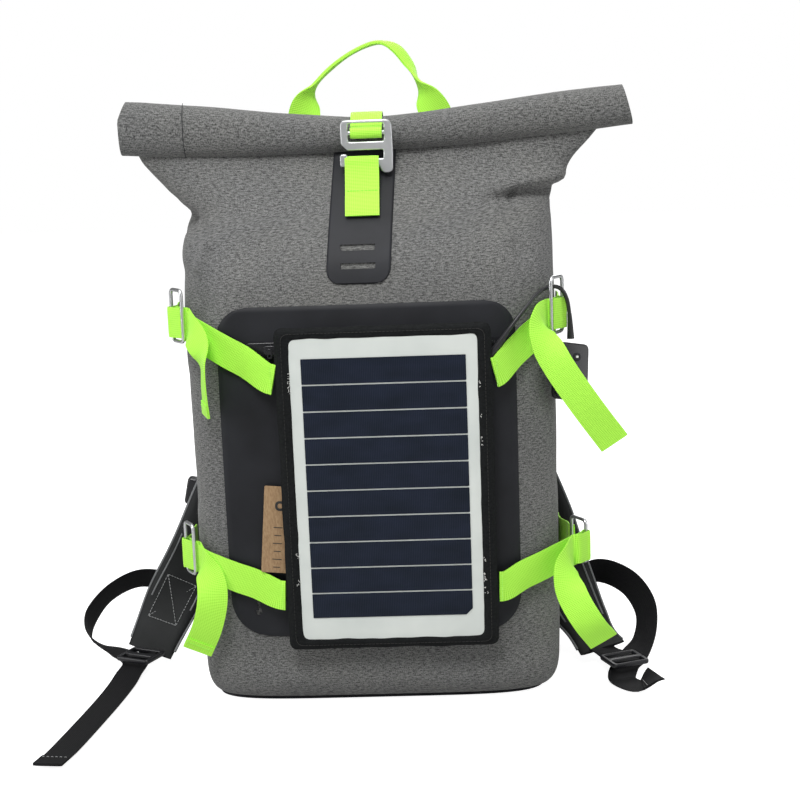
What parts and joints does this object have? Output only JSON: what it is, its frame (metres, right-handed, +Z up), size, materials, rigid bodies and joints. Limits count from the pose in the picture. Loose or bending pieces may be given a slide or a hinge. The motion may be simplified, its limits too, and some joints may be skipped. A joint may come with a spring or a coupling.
{
  "type": "solar backpack",
  "caption": "Upright roll-top backpack with a hooked closure strap, a strapped-on flexible solar panel with a wired output box, side tension straps and padded shoulder straps.",
  "frame": {"origin": "centre of the underside of the base panel, on the ground plane", "axes": "+Z up along the standing bag, -Y out of the front with the solar panel, +Y towards the wearer's back, +X to the right seen from the front"},
  "size_m": [0.5479, 0.3443, 0.5696],
  "materials": {
    "shell_fabric": "matt coated heather-grey woven polyester",
    "black_tpu": "satin welded film",
    "green_webbing": "bright lime ribbed webbing",
    "black_webbing": "black woven webbing",
    "pad_mesh": "black knitted padding cover",
    "black_plastic": "black moulded plastic",
    "aluminium": "satin anodised",
    "steel": "bright formed wire",
    "panel_fabric": "black coated cloth, stitched edge",
    "board": "dark glass-fibre board",
    "laminate": "pale satin laminate sheet",
    "cell": "dark navy gloss under clear film",
    "inner_sheet": "black sheet",
    "kraft": "brown card"
  },
  "bodies": {
    "bag": {"bag_shell": "shell_fabric", "front_patch": "black_tpu", "closure_patch": "black_tpu", "zipper_tape": "black_tpu", "zipper_garage": "black_tpu", "base_panel": "black_tpu", "hook_loop": "green_webbing", "strap_upper_left": "green_webbing", "strap_upper_right": "green_webbing", "strap_lower_left": "green_webbing", "strap_lower_right": "green_webbing", "ring_anchor_upper_left": "green_webbing", "ring_anchor_upper_right": "green_webbing", "ring_anchor_lower_left": "green_webbing", "ring_anchor_lower_right": "green_webbing", "strap_yoke": "black_webbing", "adjuster_webbing_left": "black_webbing", "adjuster_webbing_right": "black_webbing", "strap_wing_left": "black_webbing", "strap_wing_right": "black_webbing", "shoulder_pad_left": "pad_mesh", "shoulder_pad_right": "pad_mesh", "back_pad": "pad_mesh", "ladder_lock_left": "black_plastic", "ladder_lock_right": "black_plastic", "regulator_front_shell": "black_plastic", "regulator_back_shell": "black_plastic", "cable_gland": "black_plastic", "solar_cable": "black_plastic", "usb_socket": "steel", "ring_upper_left": "steel", "ring_upper_right": "steel", "ring_lower_left": "steel", "ring_lower_right": "steel", "panel_cover": "panel_fabric", "panel_board": "board", "panel_laminate": "laminate", "solar_cell_01": "cell", "solar_cell_02": "cell", "solar_cell_03": "cell", "solar_cell_04": "cell", "solar_cell_05": "cell", "solar_cell_06": "cell", "solar_cell_07": "cell", "solar_cell_08": "cell", "solar_cell_09": "cell", "solar_cell_10": "cell", "frame_sheet": "inner_sheet", "laptop_sleeve": "inner_sheet", "hang_tag": "kraft"},
    "roll": {"roll_top": "shell_fabric", "roll_stiffener": "inner_sheet"},
    "closure": {"closure_strap": "green_webbing"},
    "hook": {"g_hook": "aluminium"},
    "handle": {"haul_handle": "green_webbing"},
    "slider": {"zipper_slider": "aluminium"},
    "puller": {"zipper_puller": "aluminium"}
  },
  "joints": [
    {"name": "roll_top_lift", "type": "slide", "parent": "bag", "child": "roll", "axis": [0, 0, 1], "range_m": [0, 0.1]},
    {"name": "closure_strap_swing", "type": "hinge", "parent": "roll", "child": "closure", "pos_m": [0.0045, 0.021, 0.484], "axis": [-1, 0, 0], "range_deg": [0, 100]},
    {"name": "g_hook_swing", "type": "hinge", "parent": "closure", "child": "hook", "pos_m": [0.0045, -0.02825, 0.492], "axis": [-1, 0, 0], "range_deg": [0, 25]},
    {"name": "haul_handle_fold", "type": "hinge", "parent": "bag", "child": "handle", "pos_m": [0.006, 0.026, 0.48], "axis": [-1, 0, 0], "range_deg": [0, 90], "stiffness_Nm_per_rad": 0.15},
    {"name": "zipper_slide", "type": "slide", "parent": "bag", "child": "slider", "axis": [1, 0, 0], "range_m": [0, 0.165]},
    {"name": "zipper_puller_swing", "type": "hinge", "parent": "slider", "child": "puller", "pos_m": [-0.0796, -0.0959, 0.318], "axis": [-1, 0, 0], "range_deg": [0, 30]}
  ]
}
